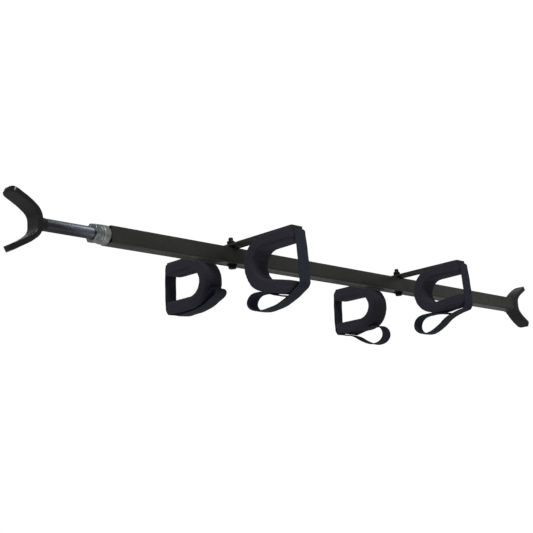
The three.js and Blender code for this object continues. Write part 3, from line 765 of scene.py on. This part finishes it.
# Half of the bent bar's centre line, from the middle of the seat to a wing tip, as (depth, height).
def saddle_half_line():
    line = [Vector((0, 0)), Vector((0, SEAT_HALF))]
    heading = 90.0
    for radius, turn, steps in SADDLE_BENDS:
        half_turn = turn / steps / 2
        chord = 2 * radius * math.sin(math.radians(half_turn))
        for _ in range(steps):
            heading -= half_turn
            line.append(line[-1] + towards(heading) * chord)
            heading -= half_turn
    wing = towards(heading) * WING_LENGTH
    return [*line, *(line[-1] + wing * share for share in WING_RINGS)]


# A share of the full size that rises from `least` at the tip to 1, as the side of a round end does.
# `near` is 0 at the tip and 1 where the rounding ends.
def rounded(near, least):
    return least + (1 - least) * math.sqrt(1 - (1 - near) ** 2)


def saddle_strip():
    half = saddle_half_line()
    line = [*(Vector((p.x, -p.y)) for p in reversed(half[1:])), *half]
    thick = SADDLE_THICK / 2 + DIP + DIP_FULL
    wide = SADDLE_WIDTH / 2 + DIP
    corners = ((-1, 1), (1, 1), (1, -1), (-1, -1))
    vertices = []
    for i, (point, normal) in enumerate(zip(line, directions(line))):
        tip = line[0] if i < len(line) / 2 else line[-1]
        distance = (point - tip).length
        from_tip = min(distance / WING_TIP_ROUND, 1)
        from_end = min(distance / WING_END_ROUND, 1)
        width = wide * rounded(from_tip, WING_TIP_SHARE)
        depth = (thick + TIP_BEAD * (1 - from_tip)) * rounded(from_end, WING_END_SHARE)
        for across, through in corners:
            place = point + normal * depth * through
            vertices.append((place.x, across * width, place.y))
    return vertices, capped_faces(len(line), len(corners))


# A tapering sleeve behind the seat. `corners` is 4 for the square tube, whose sleeve flares only in
# height, and more for the round rod, whose sleeve flares all round.
def sleeve(corners, size, flare):
    back = -SADDLE_THICK / 2
    stations = [
        (back - SLEEVE, -DIP - SLEEVE_START),
        (back - SLEEVE + SLEEVE_LEAD, -DIP / 2),
        *((back + along * flare, outward * flare) for along, outward in FLARE_PROFILE),
        (0.0, flare),
    ]
    square = corners == 4
    turn = math.pi / 4 if square else 0
    reach = math.sqrt(2) if square else 1
    vertices = []
    for depth, grow in stations:
        for j in range(corners):
            angle = turn + 2 * math.pi * j / corners
            sideways = min(grow, 0) if square else grow
            y = (size + sideways) * reach * math.cos(angle)
            vertices.append((depth, y, (size + grow) * reach * math.sin(angle)))
    return vertices, capped_faces(len(stations), corners)


def add_saddle(name, body, seat, direction, sleeve_shape):
    vertices, faces = saddle_strip()
    first = len(vertices)
    more_vertices, more_faces = sleeve_shape
    vertices += more_vertices
    faces += [tuple(first + j for j in face) for face in more_faces]
    shift = seat - direction * (SADDLE_THICK / 2 + DIP)
    placed = [(shift + direction * x, direction * y, z) for x, y, z in vertices]
    saddle = mesh_object(f"dipped_{name}", placed, faces, MATERIALS["vinyl"])
    face_outwards(saddle)
    voxel_remesh(saddle, DIP_VOXEL, DIP_SMOOTHING)
    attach(saddle, body)
    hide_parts(f"{name}_dip")


# ---------------------------------------------------------------- screw
# The rod with its fine thread as a helix of shallow grooves.
def add_screw():
    low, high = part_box("screw_rod")
    length = high.x - low.x
    rings = int(length / THREAD_PITCH * THREAD_RINGS)
    vertices = [(low.x, 0, 0)]
    for i in range(rings + 1):
        x = low.x + length * i / rings
        from_end = min(x - low.x, high.x - x) / ROD_END_LENGTH
        turned_down = ROD_END_DEPTH * max(1 - from_end, 0)
        for j in range(ROD_SIDES):
            angle = 2 * math.pi * j / ROD_SIDES
            phase = (x / THREAD_PITCH - j / ROD_SIDES) % 1
            slope = (abs(phase - 0.5) * 2 - THREAD_FLAT) / (1 - 2 * THREAD_FLAT)
            groove = min(max(slope, 0), 1)
            radius = ROD_RADIUS - THREAD_DEPTH * groove - turned_down * (1 - groove)
            vertices.append((x, radius * math.cos(angle), radius * math.sin(angle)))
    vertices.append((high.x, 0, 0))
    last = len(vertices) - 1
    ring = last - ROD_SIDES
    faces = ring_faces(rings + 1, ROD_SIDES, first=1)
    faces += [(0, 1 + (j + 1) % ROD_SIDES, 1 + j) for j in range(ROD_SIDES)]
    faces += [(last, ring + j, ring + (j + 1) % ROD_SIDES) for j in range(ROD_SIDES)]
    screw = mesh_object("threaded_screw", vertices, faces, MATERIALS["screw"])
    face_outwards(screw)
    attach(screw, "screw")
    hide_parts("screw_rod")


# ---------------------------------------------------------------- CAD nodes that stay
# Bolts, nuts, washers, rivets, tube and arms keep their CAD shape, with eased edges and real finishes.
def finish_cad_nodes():
    for part in frame["record"]["subparts"]:
        node = frame["nodes"][part["node"]]
        node.data.materials.clear()
        node.data.materials.append(MATERIALS[part["material_slot"]])
        weld = node.modifiers.new("weld", "WELD")
        weld.merge_threshold = WELD_DISTANCE
        bevel = node.modifiers.new("eased_edges", "BEVEL")
        bevel.width = EASED_EDGE
        bevel.segments = 2
        bevel.limit_method = "ANGLE"
        bevel.angle_limit = math.radians(EASED_ANGLE)
        bevel.harden_normals = True
        node.data.polygons.foreach_set("use_smooth", [True] * len(node.data.polygons))


# ---------------------------------------------------------------- stage, lights and camera
FLOOR_UP = -1.35
FLOOR_MIDDLE = -0.75  # under the middle of the bar
FLOOR_HALF = 6
BACKDROP_SEEN = 1.02  # brightness of the backdrop where the camera sees it
BACKDROP_LIGHT = 0.32  # and as a light on the pieces
# name, place, what it is aimed at, diameter in metres and power in watts
LIGHTS = [
    ("key", (-1.6, -1.2, 1.5), (-0.9, 0, 0), 0.8, 20),
    ("under", (-1.7, -0.9, -1.1), (-0.9, 0, 0), 0.9, 4),
    ("end", (-3.3, 0.5, 0.1), (-1.5, 0, 0), 0.7, 3),
]
CAMERA_PLACE = (-2.492, -1.460, -0.500)
CAMERA_TURN = (103.06, 3.77, -45.84)  # below the bar, looking up 13 degrees with a 4 degree lean
CAMERA_LENS = 72.57


def add_floor():
    ends = ((-1, -1), (1, -1), (1, 1), (-1, 1))
    corners = [(FLOOR_MIDDLE + a * FLOOR_HALF, b * FLOOR_HALF, FLOOR_UP) for a, b in ends]
    material, tree, shader = new_material("floor", Roughness=0.9)
    tint = noise(tree, coordinates(tree), 3, detail=2)
    join(tree, shader, Base_Color=grey(tree, tint, 0.78, 0.84))
    floor = mesh_object("floor", corners, [(0, 1, 2, 3)], material, smooth=False)


def add_light(name, place, target, size, power):
    data = bpy.data.lights.new(name, "AREA")
    data.shape = "DISK"
    data.size = size
    data.energy = power
    light = bpy.data.objects.new(name, data)
    bpy.context.scene.collection.objects.link(light)
    light.location = place
    light.rotation_euler = (Vector(target) - Vector(place)).to_track_quat("-Z", "Y").to_euler()


# The camera sees a white backdrop; the pieces are lit by a dimmer one of the same colour.
def add_world():
    world = bpy.data.worlds.new("studio")
    bpy.context.scene.world = world
    world.use_nodes = True
    tree = world.node_tree
    background = tree.nodes["Background"]
    seen = tree.nodes.new("ShaderNodeLightPath").outputs["Is Camera Ray"]
    strength = math_node(tree, "MULTIPLY_ADD", seen, BACKDROP_SEEN - BACKDROP_LIGHT, BACKDROP_LIGHT)
    background.inputs["Color"].default_value = (1, 1, 1, 1)
    tree.links.new(strength, background.inputs["Strength"])


def add_camera():
    data = bpy.data.cameras.new("camera")
    data.lens = CAMERA_LENS
    data.sensor_width = 36
    data.clip_end = 50
    camera = bpy.data.objects.new("camera", data)
    camera.location = CAMERA_PLACE
    camera.rotation_euler = [math.radians(a) for a in CAMERA_TURN]
    bpy.context.scene.collection.objects.link(camera)
    bpy.context.scene.camera = camera


add_camera()
add_world()
add_floor()
for light in LIGHTS:
    add_light(*light)
bpy.context.scene.view_settings.view_transform = "Standard"

finish_cad_nodes()
add_screw()
tube_sleeve = sleeve(4, TUBE_HALF + DIP, TUBE_FLARE)
rod_sleeve = sleeve(ROD_SLEEVE_SIDES, ROD_RADIUS + DIP, ROD_FLARE)
add_saddle("fixed_saddle", "bar", SEATS[0], 1, tube_sleeve)
add_saddle("screw_saddle", "screw", SEATS[1], -1, rod_sleeve)
add_pads()
for cradle in CRADLES:
    add_strap(**cradle)
